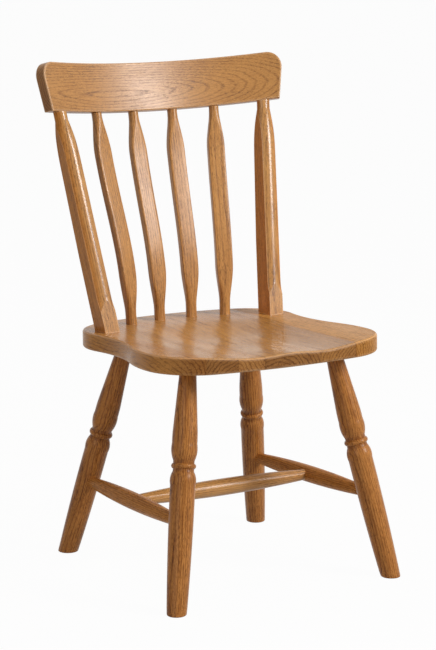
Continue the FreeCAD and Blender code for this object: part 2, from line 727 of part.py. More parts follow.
def carving_waste():
    """Everything above the carved surface, a little larger than the panel."""
    steps = 44
    margin = 1.1
    half_width = margin * size("seat_half_width")
    front = margin * size("seat_front")
    depth = margin * (size("seat_back") - size("seat_front"))
    grid = []
    for i in range(steps + 1):
        x = half_width * (2 * i / steps - 1)
        ys = [front + depth * j / steps for j in range(steps + 1)]
        grid.append([Vector(x, y, carved_height(x, y)) for y in ys])
    surface = Part.BSplineSurface()
    surface.interpolate(grid)
    return surface.toShape().extrude(UP * 2 * size("panel_height"))


def rim(edge):
    """The outline's edges, upper and lower, and not the upright ones where two arcs meet."""
    return max(edge.BoundBox.XLength, edge.BoundBox.YLength) > size("seat_edge_r")


waste = doc.addObject("Part::Feature", "carving_waste")
waste.Shape = carving_waste()
carved = cut_away("seat_carved", seat_body, [waste])
rounded = round_edges("seat_rounded", carved, "seat_edge_r", rim)
rounded.Placement = SEAT_PLACE
panel = cut_away("seat_bored", rounded, seat_bores)

GLUE_LINES = ("glue_line_1", "glue_line_2", "glue_line_3", "glue_line_4", "glue_line_5")
reach = size("saw_reach")
stops = [-reach] + [size(alias) for alias in GLUE_LINES] + [reach]
for number in range(1, len(stops)):
    name = "seat_board_%d" % number
    slab = doc.addObject("Part::Box", name + "_slab")
    slab.Length = stops[number] - stops[number - 1]
    bind(slab, "Width", "2 * Sizes.saw_reach")
    bind(slab, "Height", "2 * Sizes.saw_reach")
    slab.Placement = Placement(Vector(stops[number - 1], -reach, 0), Rotation())
    board = doc.addObject("Part::Common", name)
    board.Base = panel
    board.Tool = slab
    pieces[name] = board
doc.recompute()

# every piece is checked and written

for item in doc.Objects:
    if "Invalid" in item.State or "Error" in item.State:
        raise RuntimeError("%s is %s" % (item.Label, item.State))
os.makedirs("parts", exist_ok=True)
for name, piece in pieces.items():
    piece.Label = name
    shape = piece.Shape
    if shape.isNull() or not shape.isValid() or len(shape.Solids) != 1:
        raise RuntimeError("%s has no single valid solid" % name)
    shape.exportStep("parts/%s.step" % name)
print("pieces written", len(pieces))
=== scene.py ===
import math

import bpy
from mathutils import Matrix, Vector


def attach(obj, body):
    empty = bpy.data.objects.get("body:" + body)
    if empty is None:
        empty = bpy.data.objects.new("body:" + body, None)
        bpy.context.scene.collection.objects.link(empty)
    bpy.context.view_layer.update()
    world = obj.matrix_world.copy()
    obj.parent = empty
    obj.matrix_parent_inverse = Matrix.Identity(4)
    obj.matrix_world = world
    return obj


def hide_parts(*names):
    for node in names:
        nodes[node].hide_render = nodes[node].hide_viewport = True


# An oak dining chair with a spindle back, under honey-coloured satin lacquer. Sizes are in metres.
# +Z is up, the sitter faces -Y, and the origin is on the floor under the middle of the chair.

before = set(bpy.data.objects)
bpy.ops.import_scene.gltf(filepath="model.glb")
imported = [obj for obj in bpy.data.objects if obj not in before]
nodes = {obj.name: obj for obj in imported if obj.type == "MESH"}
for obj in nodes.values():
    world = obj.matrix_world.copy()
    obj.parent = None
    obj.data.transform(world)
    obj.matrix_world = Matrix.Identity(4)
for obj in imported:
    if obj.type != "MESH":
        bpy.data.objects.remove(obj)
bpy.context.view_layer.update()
scene = bpy.context.scene

# places of the pieces, as in the construction

SEAT_SLOPE = math.tan(math.radians(1.7))
SEAT_LEVEL = 0.4477
SHOWN_GLUE_LINES = (-0.057, 0.140)
RAIL_BEND = 0.538
RAIL_MIDDLE = 0.0105
RAIL_TILT = math.radians(15.5)
RAIL_FOOT = Vector((0, 0.2271, 0.8352))
RAIL_TURN = Matrix.Rotation(-RAIL_TILT, 3, "X")
REAR_BORE_HEIGHT, FRONT_BORE_HEIGHT = 0.144, 0.156
POST_FOOT_X, POST_FOOT_Y = 0.1782, 0.0923
POST_HEAD_ARC = 0.2229
SPINDLE_SET_BACK = 0.002


def on_seat(x, y):
    return Vector((x, y, SEAT_LEVEL - SEAT_SLOPE * y))


def under_rail(arc, depth):
    """A place under the bent rail: along its bend, and back from its front face."""
    turn = arc / RAIL_BEND
    radius = RAIL_BEND + depth
    across, back = math.sin(turn) * radius, math.cos(turn) * radius - RAIL_BEND
    return RAIL_FOOT + RAIL_TURN @ Vector((across, back, 0))


class Leg:
    """Where one leg stands, how it leans for each unit of height, and how high its bead is."""

    def __init__(self, foot, lean, bead_height):
        self.foot = Vector((*foot, 0))
        self.lean = Vector((*lean, 1))
        self.bead_height = bead_height

    def at(self, height):
        return self.foot + self.lean * height


LEGS = {
    "front_left_leg": Leg((-0.228, -0.2523), (0.179, 0.210), 0.252),
    "front_right_leg": Leg((0.228, -0.2523), (-0.179, 0.210), 0.252),
    "rear_left_leg": Leg((-0.2114, 0.1999), (0.186, -0.236), 0.239),
    "rear_right_leg": Leg((0.2114, 0.1999), (-0.186, -0.236), 0.239),
}


def side_line(side):
    """The line of a side stretcher, from the rear leg's bore to the front leg's."""
    rear = LEGS["rear_%s_leg" % side].at(REAR_BORE_HEIGHT)
    front = LEGS["front_%s_leg" % side].at(FRONT_BORE_HEIGHT)
    return rear, front


def middle_of(line):
    return sum(line, Vector()) / 2


STRETCHERS = {
    "left_side_stretcher": side_line("left"),
    "right_side_stretcher": side_line("right"),
    "cross_stretcher": (middle_of(side_line("left")), middle_of(side_line("right"))),
}
# foot and head of each post
POSTS = {
    side + "_post": (on_seat(way * POST_FOOT_X, POST_FOOT_Y), under_rail(way * POST_HEAD_ARC, RAIL_MIDDLE))
    for side, way in (("left", -1), ("right", 1))
}
# where each spindle stands on the seat, and how far along the rail's bend its head is
SPINDLES = {
    "spindle_1": (on_seat(-0.1024, 0.138), -0.1261),
    "spindle_2": (on_seat(-0.0346, 0.1495), -0.04165),
    "spindle_3": (on_seat(0.0346, 0.1495), 0.04165),
    "spindle_4": (on_seat(0.1024, 0.138), 0.1261),
}


# node helpers for materials and geometry

MIX_SHARE, MIX_FIRST, MIX_SECOND, MIX_RESULT = 0, 6, 7, 2  # a mix node's sockets for colours


class Tree:
    """Adds nodes to a tree in one line each."""

    def __init__(self, tree):
        self.tree = tree

    def connect(self, value, socket):
        if isinstance(value, bpy.types.NodeSocket):
            self.tree.links.new(value, socket)
        else:
            socket.default_value = value

    def add(self, kind, inputs=None, **settings):
        node = self.tree.nodes.new(kind)
        for key, value in settings.items():
            setattr(node, key, value)
        for key, value in (inputs or {}).items():
            self.connect(value, node.inputs[key])
        return node

    def math(self, operation, *values, clamp=False):
        inputs = dict(enumerate(values))
        return self.add("ShaderNodeMath", inputs, operation=operation, use_clamp=clamp).outputs[0]

    def plus(self, base, value, factor, clamp=False):
        """The base, and a value times a factor added to it."""
        return self.math("MULTIPLY_ADD", value, factor, base, clamp=clamp)

    def vector(self, operation, *values):
        node = self.add("ShaderNodeVectorMath", dict(enumerate(values)), operation=operation)
        return node.outputs["Value" if operation in ("LENGTH", "DOT_PRODUCT") else "Vector"]

    def scaled(self, vector, factor):
        node = self.add("ShaderNodeVectorMath", {0: vector, "Scale": factor}, operation="SCALE")
        return node.outputs["Vector"]

    def parts(self, vector):
        return self.add("ShaderNodeSeparateXYZ", {0: vector}).outputs

    def joined(self, x, y, z):
        return self.add("ShaderNodeCombineXYZ", {"X": x, "Y": y, "Z": z}).outputs[0]

    def ramp(self, value, low, high, out_low=0.0, out_high=1.0):
        inputs = {"Value": value, "From Min": low, "From Max": high, "To Min": out_low, "To Max": out_high}
        return self.add("ShaderNodeMapRange", inputs, interpolation_type="SMOOTHSTEP").outputs["Result"]

    def noise(self, place, detail=2.0, roughness=0.5):
        inputs = {"Vector": place, "Scale": 1.0, "Detail": detail, "Roughness": roughness}
        return self.add("ShaderNodeTexNoise", inputs).outputs

    def group(self, group, inputs):
        return self.add("ShaderNodeGroup", inputs, node_tree=group).outputs

    def mix(self, share, first, second):
        node = self.add("ShaderNodeMix", data_type="RGBA")
        for index, value in ((MIX_SHARE, share), (MIX_FIRST, first), (MIX_SECOND, second)):
            self.connect(value, node.inputs[index])
        return node.outputs[MIX_RESULT]


FLOAT, INT, VECTOR, COLOR = "NodeSocketFloat", "NodeSocketInt", "NodeSocketVector", "NodeSocketColor"
GEOMETRY, MATERIAL = "NodeSocketGeometry", "NodeSocketMaterial"


def new_group(name, kind, inputs, outputs):
    """A node group with named sockets; gives its tree, its given values and its results."""
    group = bpy.data.node_groups.new(name, kind)
    for label, socket_kind in inputs:
        group.interface.new_socket(label, in_out="INPUT", socket_type=socket_kind)
    for label, socket_kind in outputs:
        group.interface.new_socket(label, in_out="OUTPUT", socket_type=socket_kind)
    tree = Tree(group)
    return tree, tree.add("NodeGroupInput").outputs, tree.add("NodeGroupOutput").inputs


# oak

PALE_OAK = (0.532, 0.264, 0.082)
HONEY_OAK = (0.330, 0.136, 0.034)
PORE_BROWN = (0.085, 0.030, 0.008)
# the colour of rubbed edges, partly wear and partly a painted highlight
RUBBED_AND_HIGHLIGHT_WHITE = (1.0, 0.93, 0.80, 1.0)
# painted shade: the posts' flanks are tinted redder, with less green and blue
FLANK_SHADE_TINT = (1.12, 0.94, 0.78)

# rings and pores
SWAY_FACTOR = 2.0
RIPPLE_YEARS = 110.0  # for each metre of wander
PORE_LENGTH = 6.5  # in pore widths
PORES_IN_LATE_WOOD, MORE_IN_EARLY_WOOD = 0.28, 0.72
SPECK_STRENGTH = 0.6
PORE_DIP, EARLY_WOOD_DIP = -0.8, -0.2

# how far each thing takes the colour from pale to honey wood, and from there to the brown of the pores
LATE_WOOD_DEPTH = 0.18
PATCH_DEPTH = 0.8
END_GRAIN_DEPTH, END_GRAIN_STAIN = 0.40, 0.34
END_RING_DEPTH, END_RING_STAIN = 0.30, 0.17
# the Hollow mask: in the legs' hollows partly pooled lacquer and partly painted shade; on the seat, its
# darker glue lines
HOLLOW_DEPTH, HOLLOW_DARKENING = 0.35, 0.14

# edges where the lacquer is rubbed thin, made paler for wear and as a painted highlight
RUBBED_AND_HIGHLIGHT_LIFT = 1.3
RUBBED_AND_HIGHLIGHT_SHARE = 0.25
WORN_AND_HIGHLIGHT_STRENGTH = 0.65

# what roughens the lacquer
PATCH_ROUGHNESS = 0.07
PORE_ROUGHNESS = 0.10
END_GRAIN_ROUGHNESS = 0.12
WORN_ROUGHNESS = -0.05


def build_oak_grain():
    """Growth rings, pores and fibres of a piece of oak whose grain runs along Z."""
    tree, given, out = new_group(
        "oak_grain",
        "ShaderNodeTree",
        (
            ("Place", VECTOR),
            ("Heart", VECTOR),
            ("Ring width", FLOAT),
            ("Wander", FLOAT),
            ("Figure", FLOAT),
            ("Streaks", FLOAT),
            ("Pore strength", FLOAT),
            ("Pore width", FLOAT),
            ("End grain", FLOAT),
            ("Hollow", FLOAT),
            ("Worn and highlit edge", FLOAT),
            ("Shaded flank", FLOAT),
            ("Gloss", FLOAT),
            ("Pale wood", COLOR),
            ("Honey wood", COLOR),
            ("Open pores", COLOR),
        ),
        (("Color", COLOR), ("Roughness", FLOAT), ("Height", FLOAT)),
    )
    place = given["Place"]

    def stretched(across, along):
        return tree.vector("MULTIPLY", place, (1 / across, 1 / across, 1 / along))

    def about_nought(value):
        return tree.math("SUBTRACT", value, 0.5)

    # rings about the heart of the tree, which wanders along the grain
    sway = tree.noise(stretched(across=0.08, along=0.26), detail=1.0)["Color"]
    sway = tree.vector("SUBTRACT", sway, (0.5, 0.5, 0.5))
    sway = tree.scaled(sway, tree.math("MULTIPLY", given["Wander"], SWAY_FACTOR))
    from_heart = tree.vector("ADD", tree.vector("SUBTRACT", place, given["Heart"]), sway)
    flat = tree.vector("MULTIPLY", from_heart, (1.0, 1.0, 0.0))
    years = tree.math("DIVIDE", tree.vector("LENGTH", flat), given["Ring width"])
    ripple = tree.noise(stretched(across=0.014, along=0.10))["Fac"]
    years = tree.plus(years, ripple, tree.math("MULTIPLY", given["Wander"], RIPPLE_YEARS))
    from_summer = tree.math("ABSOLUTE", about_nought(tree.math("FRACT", years)))
    early = tree.ramp(from_summer, low=0.28, high=0.48)

    # open pores lie in short dashes, most of them in the early wood
    width = given["Pore width"]
    length = tree.math("MULTIPLY", width, PORE_LENGTH)
    fine = tree.vector("DIVIDE", place, tree.joined(width, width, length))
    dashes = tree.ramp(tree.noise(fine, detail=3.0, roughness=0.7)["Fac"], low=0.40, high=0.62)
    finer = tree.vector("MULTIPLY", fine, (1.2, 1.2, 2.0))
    specks = tree.ramp(tree.noise(finer, detail=1.0)["Fac"], low=0.54, high=0.66)
    pores = tree.math("MULTIPLY", dashes, tree.plus(PORES_IN_LATE_WOOD, early, MORE_IN_EARLY_WOOD))
    pores = tree.math("MAXIMUM", pores, tree.math("MULTIPLY", specks, SPECK_STRENGTH))
    busy = tree.noise(stretched(across=0.02, along=0.10))["Fac"]
    pores = tree.math("MULTIPLY", pores, tree.ramp(busy, low=0.35, high=0.65, out_low=0.65, out_high=1.1))
    coarser = tree.vector("MULTIPLY", fine, (0.6, 0.6, 0.25))
    fibres = tree.noise(coarser, detail=2.0, roughness=0.6)["Fac"]
    patches = tree.noise(stretched(across=0.05, along=0.20))["Fac"]

    # end grain soaks up more of the honey-coloured lacquer; hollows are darker, partly pooled lacquer and
    # partly painted shade
    rings_on_end = tree.math("MULTIPLY", given["End grain"], early)
    depth = tree.plus(LATE_WOOD_DEPTH, early, given["Figure"])
    depth = tree.plus(depth, about_nought(patches), PATCH_DEPTH)
    depth = tree.plus(depth, about_nought(fibres), given["Streaks"])
    depth = tree.plus(depth, given["End grain"], END_GRAIN_DEPTH)
    depth = tree.plus(depth, rings_on_end, END_RING_DEPTH)
    depth = tree.plus(depth, given["Hollow"], HOLLOW_DEPTH, clamp=True)
    color = tree.mix(depth, given["Pale wood"], given["Honey wood"])
    toward_pores = tree.math("MULTIPLY", pores, given["Pore strength"])
    toward_pores = tree.plus(toward_pores, given["End grain"], END_GRAIN_STAIN)
    toward_pores = tree.plus(toward_pores, rings_on_end, END_RING_STAIN)
    toward_pores = tree.plus(toward_pores, given["Hollow"], HOLLOW_DARKENING, clamp=True)
    color = tree.mix(toward_pores, color, given["Open pores"])

    # rubbed edges are paler, partly wear and partly a painted highlight; flanks are redder as painted shade
    worn_and_highlit = tree.mix(RUBBED_AND_HIGHLIGHT_SHARE, tree.scaled(given["Pale wood"], RUBBED_AND_HIGHLIGHT_LIFT), RUBBED_AND_HIGHLIGHT_WHITE)
    color = tree.mix(tree.math("MULTIPLY", given["Worn and highlit edge"], WORN_AND_HIGHLIGHT_STRENGTH), color, worn_and_highlit)
    color = tree.mix(given["Shaded flank"], color, tree.vector("MULTIPLY", color, FLANK_SHADE_TINT))

    uneven = tree.ramp(patches, low=0.2, high=0.8, out_high=PATCH_ROUGHNESS)
    rough = tree.math("ADD", given["Gloss"], uneven)
    rough = tree.plus(rough, pores, PORE_ROUGHNESS)
    rough = tree.plus(rough, given["End grain"], END_GRAIN_ROUGHNESS)
    rough = tree.plus(rough, given["Worn and highlit edge"], WORN_ROUGHNESS)
    height = tree.plus(tree.math("MULTIPLY", early, EARLY_WOOD_DIP), pores, PORE_DIP)
    for label, value in (("Color", color), ("Roughness", rough), ("Height", height)):
        tree.connect(value, out[label])
    return tree.tree


def build_bent_board():
    """Straightens a board that is bent about an upright axis. Its grain follows the bend and arches."""
    inputs = (("Place", VECTOR), ("Bend", FLOAT), ("Arch", FLOAT), ("Arch middle", FLOAT))
    tree, given, out = new_group("bent_board", "ShaderNodeTree", inputs, (("Place", VECTOR),))
    part = tree.parts(given["Place"])
    forward = tree.math("ADD", part["Y"], given["Bend"])
    turn = tree.math("ARCTAN2", part["X"], forward)
    radius = tree.vector("LENGTH", tree.joined(part["X"], forward, 0.0))
    back = tree.math("SUBTRACT", radius, given["Bend"])
    along = tree.math("MULTIPLY", turn, given["Bend"])
    from_middle = tree.math("SUBTRACT", along, given["Arch middle"])
    rise = tree.math("MULTIPLY", tree.math("MULTIPLY", from_middle, from_middle), given["Arch"])
    back = tree.math("ADD", back, rise)
    tree.connect(tree.joined(part["Z"], back, along), out["Place"])
    return tree.tree


def build_worn_and_highlit_edge():
    """One along the arrises, where hands and cloths rub the lacquer thin and where a painted highlight
    goes, but not at glued faces.
    """
    inputs = (("Reach", FLOAT), ("Glued way", VECTOR))
    tree, given, out = new_group("worn_and_highlit_edge", "ShaderNodeTree", inputs, (("Mask", FLOAT),))
    soft = tree.add("ShaderNodeBevel", {"Radius": given["Reach"]}, samples=4).outputs["Normal"]
    normal = tree.add("ShaderNodeNewGeometry").outputs["Normal"]
    apart = tree.vector("SUBTRACT", soft, normal)
    glued = tree.math("ABSOLUTE", tree.vector("DOT_PRODUCT", apart, given["Glued way"]))
    free = tree.ramp(glued, low=0.02, high=0.12, out_low=1.0, out_high=0.0)
    worn_and_highlit = tree.ramp(tree.vector("LENGTH", apart), low=0.08, high=0.32)
    tree.connect(tree.math("MULTIPLY", worn_and_highlit, free), out["Mask"])
    return tree.tree


oak_grain = build_oak_grain()
bent_board = build_bent_board()
worn_and_highlit_edge = build_worn_and_highlit_edge()


class Cut:
    """How a piece is cut from the tree, and how its lacquer looks."""

    def __init__(self, ring, wander, figure, streaks, pores, pore_width, gloss, shine):
        self.ring, self.wander, self.figure = ring, wander, figure
        self.streaks, self.pores, self.pore_width = streaks, pores, pore_width
        self.gloss, self.shine = gloss, shine

    def lacquered(self, gloss, shine):
        """The same cut under another lacquer."""
        cut = Cut(**vars(self))
        cut.gloss, cut.shine = gloss, shine
        return cut


SEAT = Cut(
    ring=0.0060, wander=0.014, figure=0.30, streaks=1.4,
    pores=0.66, pore_width=0.0025, gloss=0.21, shine=0.13,
)
DULL_SEAT = SEAT.lacquered(gloss=0.26, shine=0.05)
RAIL = Cut(
    ring=0.0044, wander=0.006, figure=0.34, streaks=1.5,
    pores=0.78, pore_width=0.0014, gloss=0.29, shine=0.48,
)
SLIM = Cut(
    ring=0.0042, wander=0.006, figure=0.34, streaks=2.2,
    pores=0.80, pore_width=0.0016, gloss=0.25, shine=0.34,
)
POST = SLIM.lacquered(gloss=0.23, shine=0.06)
TURNED = Cut(
    ring=0.0040, wander=0.008, figure=0.50, streaks=3.0,
    pores=0.92, pore_width=0.0018, gloss=0.26, shine=0.19,
)
SIDE_BAR = Cut(
    ring=0.0036, wander=0.006, figure=0.44, streaks=2.4,
    pores=0.80, pore_width=0.0019, gloss=0.30, shine=0.05,
)
CROSS_BAR = Cut(
    ring=0.0036, wander=0.006, figure=0.36, streaks=2.2,
    pores=0.70, pore_width=0.0019, gloss=0.24, shine=0.34,
)
LACQUER_IOR = 1.45
PORE_BUMP = 0.2
PORE_HOLLOW = 0.0003
GLUE_LINE_CORE, GLUE_LINE_EDGE = 0.0008, 0.0024
# painted highlight on the upper rounding of the seat's edge
SEAT_ROUNDING_HIGHLIGHT = 0.6
POST_FRONT_POLISH = 0.72
RAIL_ARCH, RAIL_ARCH_MIDDLE = 0.32, -0.09


def start_material(name):
    material = bpy.data.materials.new(name)
    material.use_nodes = True
    material.node_tree.nodes.clear()
    return material, Tree(material.node_tree)


def finish_oak(
    tree, place, cut, heart, tone,
    end_grain=0.0, hollow=0.0, wear_and_highlight=0.0, shaded_flank=0.0, polish=0.0,
):
    """The grain and the lacquer of one material."""

    def toned(color):
        return tuple(part * factor for part, factor in zip(color, tone)) + (1.0,)

    inputs = {
        "Place": place,
        "Heart": heart,
        "Ring width": cut.ring,
        "Wander": cut.wander,
        "Figure": cut.figure,
        "Streaks": cut.streaks,
        "Pore strength": cut.pores,
        "Pore width": cut.pore_width,
        "End grain": end_grain,
        "Hollow": hollow,
        "Worn and highlit edge": wear_and_highlight,
        "Shaded flank": shaded_flank,
        "Gloss": cut.gloss,
        "Pale wood": toned(PALE_OAK),
        "Honey wood": toned(HONEY_OAK),
        "Open pores": toned(PORE_BROWN),
    }
    grain = tree.group(oak_grain, inputs)
    inputs = {"Strength": PORE_BUMP, "Distance": PORE_HOLLOW, "Height": grain["Height"]}
    bump = tree.add("ShaderNodeBump", inputs)
    inputs = {
        "Base Color": grain["Color"],
        "Roughness": grain["Roughness"],
        "Normal": bump.outputs["Normal"],
        "IOR": LACQUER_IOR,
        "Specular IOR Level": cut.shine,
        "Coat Weight": polish,
        "Coat Roughness": cut.gloss,
    }
    lacquer = tree.add("ShaderNodeBsdfPrincipled", inputs)
    tree.add("ShaderNodeOutputMaterial", {"Surface": lacquer.outputs["BSDF"]})


def beside_glue_line(tree, here):
    """One close to the two glue lines of the seat that show as a thin darker line."""
    x = tree.parts(here)["X"]
    nearest = 1.0
    for line in SHOWN_GLUE_LINES:
        away = tree.math("ABSOLUTE", tree.math("SUBTRACT", x, line))
        nearest = tree.math("MINIMUM", nearest, away)
    return tree.ramp(nearest, GLUE_LINE_CORE, GLUE_LINE_EDGE, out_low=1.0, out_high=0.0)


def on_the_highlit_rounding(tree):
    """One on the upper part of the rounding between the seat's top and its edge, where a painted highlight
    goes.
    """
    normal = tree.add("ShaderNodeNewGeometry").outputs["Normal"]
    up = tree.parts(normal)["Z"]
    above_edge = tree.ramp(up, low=0.45, high=0.60)
    below_top = tree.ramp(up, low=0.80, high=0.92, out_low=1.0, out_high=0.0)
    return tree.math("MULTIPLY", above_edge, below_top)


def facing_along(tree, direction):
    """One where the surface faces along a direction, to either end of it."""
    normal = tree.add("ShaderNodeNewGeometry").outputs["Normal"]
    share = tree.math("ABSOLUTE", tree.vector("DOT_PRODUCT", normal, direction))
    return tree.ramp(share, low=0.5, high=0.95)


def board_oak(
    name, start, turn, cut, heart, tone, edge_reach,
    glued_way=(0, 0, 0), bend=None, end_depth=1.0,
):
    """Oak for a piece of the construction; its grain runs along the turned Z axis, or round the bend."""
    material, tree = start_material(name)
    here = tree.add("ShaderNodeTexCoord").outputs["Object"]
    inputs = {"Vector": here, "Location": start, "Rotation": turn.to_euler()}
    place = tree.add("ShaderNodeMapping", inputs, vector_type="TEXTURE").outputs["Vector"]
    along = turn.col[2]
    if bend:
        inputs = {"Place": place, "Bend": bend, "Arch": RAIL_ARCH, "Arch middle": RAIL_ARCH_MIDDLE}
        place = tree.group(bent_board, inputs)["Place"]
        along = turn.col[0]
    # paler arrises: partly wear, partly a painted highlight
    wear_and_highlight = tree.group(worn_and_highlit_edge, {"Reach": edge_reach, "Glued way": glued_way})["Mask"]
    seam = 0.0
    if cut in (SEAT, DULL_SEAT):
        seam = beside_glue_line(tree, here)
        # painted highlight along the seat's upper rounding, joined to the worn edges
        rounding = tree.math("MULTIPLY", on_the_highlit_rounding(tree), SEAT_ROUNDING_HIGHLIGHT)
        wear_and_highlight = tree.math("MAXIMUM", wear_and_highlight, rounding)
    shaded_flank = polish = 0.0
    if cut is POST:
        # painted shade on the posts' flanks; the coat goes on their fronts only
        shaded_flank = facing_along(tree, turn.col[0])
        polish = tree.ramp(shaded_flank, low=0.0, high=1.0, out_low=POST_FRONT_POLISH, out_high=0.0)
    end_grain = tree.math("MULTIPLY", facing_along(tree, along), end_depth)
    finish_oak(tree, place, cut, heart, tone, end_grain, seam, wear_and_highlight, shaded_flank, polish)
    return material


def stick_oak(name, cut, heart, tone):
    """Oak for turned and bent sticks, which carry their own place in the plank and their hollows."""
    material, tree = start_material(name)
    place = tree.add("ShaderNodeAttribute", attribute_name="plank_place").outputs["Vector"]
    hollow = tree.add("ShaderNodeAttribute", attribute_name="hollow").outputs["Fac"]
    finish_oak(tree, place, cut, heart, tone, hollow=hollow)
    return material


# sticks that a lathe and a plane shape

STICK_INPUTS = (
    ("Profile", GEOMETRY),
    ("Steps around", INT),
    ("Start", VECTOR),
    ("Along", VECTOR),
    ("Across", VECTOR),
    ("Plank place", VECTOR),
    ("Hollow radius", FLOAT),
    ("Hollow reach", FLOAT),
    ("Material", MATERIAL),
)
SPINDLE_INPUTS = (
    ("Length", FLOAT),
    ("Flat width", FLOAT),
    ("Flat thickness", FLOAT),
    ("Squareness", FLOAT),
    ("Low neck", FLOAT),
    ("Low full", FLOAT),
    ("High full", FLOAT),
    ("High neck", FLOAT),
    ("Bend", FLOAT),
    ("Bend end", FLOAT),
    ("Bend warp", FLOAT),
)
SHARP_ANGLE = math.radians(40)
FLOOR_REACH = 1e-5
MERGE_REACH = 1e-6
LEAST_UPRIGHT = 0.01
HOLLOW_RISE = 0.0014


def stored(tree, geometry, name, value, data_type, domain):
    inputs = {"Geometry": geometry, "Name": name, "Value": value}
    node = tree.add("GeometryNodeStoreNamedAttribute", inputs, data_type=data_type, domain=domain)
    return node.outputs[0]


def round_the_profile(tree, given):
    """A grid with one row for each profile point; gives it with each point's radius, height and angle."""
    profile = given["Profile"]
    rows = tree.add("GeometryNodeAttributeDomainSize", {"Geometry": profile}).outputs["Point Count"]
    columns = tree.math("ADD", given["Steps around"], 1.0)
    grid = tree.add("GeometryNodeMeshGrid", {"Vertices X": columns, "Vertices Y": rows}).outputs["Mesh"]
    index = tree.add("GeometryNodeInputIndex").outputs["Index"]
    row = tree.math("MODULO", index, rows)
    column = tree.math("FLOOR", tree.math("DIVIDE", index, rows))
    here = tree.add("GeometryNodeInputPosition").outputs["Position"]
    inputs = {"Geometry": profile, "Value": here, "Index": row}
    sample = tree.add("GeometryNodeSampleIndex", inputs, data_type="FLOAT_VECTOR", domain="POINT")
    point = tree.parts(sample.outputs["Value"])
    angle = tree.math("DIVIDE", tree.math("MULTIPLY", column, 2 * math.pi), given["Steps around"])
    return grid, point["X"], point["Z"], angle


def set_in_place(tree, given, out, grid, straight, shaped):
    """Turns the shaped stick to its direction, levels it at the floor and gives it its wood."""
    inputs = {"Primary Axis": given["Along"], "Secondary Axis": given["Across"]}
    turn = tree.add("FunctionNodeAxesToRotation", inputs, primary_axis="Z", secondary_axis="X").outputs[0]
    turned = tree.add("FunctionNodeRotateVector", {"Vector": shaped, "Rotation": turn}).outputs[0]
    placed = tree.vector("ADD", turned, given["Start"])
    below = tree.math("MAXIMUM", 0.0, tree.math("MULTIPLY", tree.parts(placed)["Z"], -1.0))
    upright = tree.math("MAXIMUM", tree.parts(given["Along"])["Z"], LEAST_UPRIGHT)
    rise = tree.math("DIVIDE", below, upright)
    placed = tree.vector("ADD", placed, tree.scaled(given["Along"], rise))
    stick = tree.add("GeometryNodeSetPosition", {"Geometry": grid, "Position": placed}).outputs[0]
    plank_place = tree.vector("ADD", straight, given["Plank place"])
    stick = stored(tree, stick, "plank_place", plank_place, "FLOAT_VECTOR", "POINT")
    inputs = {"Geometry": stick, "Distance": MERGE_REACH}
    stick = tree.add("GeometryNodeMergeByDistance", inputs).outputs[0]
    stick = tree.add("GeometryNodeSetShadeSmooth", {"Geometry": stick}, domain="FACE").outputs[0]
    angle = tree.add("GeometryNodeInputMeshEdgeAngle").outputs["Unsigned Angle"]
    sharp = tree.math("GREATER_THAN", angle, SHARP_ANGLE)
    inputs = {"Geometry": stick, "Selection": sharp, "Shade Smooth": False}
    stick = tree.add("GeometryNodeSetShadeSmooth", inputs, domain="EDGE").outputs[0]
    height = tree.parts(tree.add("GeometryNodeInputPosition").outputs["Position"])["Z"]
    rim = tree.math("MULTIPLY", sharp, tree.math("LESS_THAN", height, FLOOR_REACH))
    stick = stored(tree, stick, "bevel_weight_edge", rim, "FLOAT", "EDGE")
    stick = tree.add("GeometryNodeRealizeInstances", {"Geometry": stick}).outputs[0]
    inputs = {"Geometry": stick, "Material": given["Material"]}
    stick = tree.add("GeometryNodeSetMaterial", inputs).outputs[0]
    tree.connect(stick, out["Stick"])


def build_turned_stick():
    """A profile turned on the lathe. Its hollows, close to the bead, are marked for the material, which
    darkens them partly as painted shade.
    """
    outputs = (("Stick", GEOMETRY),)
    tree, given, out = new_group("turned_stick", "GeometryNodeTree", STICK_INPUTS, outputs)
    grid, radius, height, angle = round_the_profile(tree, given)
    x = tree.math("MULTIPLY", radius, tree.math("COSINE", angle))
    y = tree.math("MULTIPLY", radius, tree.math("SINE", angle))
    round_place = tree.joined(x, y, height)
    above = tree.math("DIVIDE", tree.math("SUBTRACT", radius, given["Hollow radius"]), HOLLOW_RISE)
    near = tree.math("LESS_THAN", tree.math("ABSOLUTE", height), given["Hollow reach"])
    hollow = tree.math("MULTIPLY", near, tree.math("SUBTRACT", 1.0, above, clamp=True))
    grid = stored(tree, grid, "hollow", hollow, "FLOAT", "POINT")
    set_in_place(tree, given, out, grid, round_place, round_place)
    return tree.tree


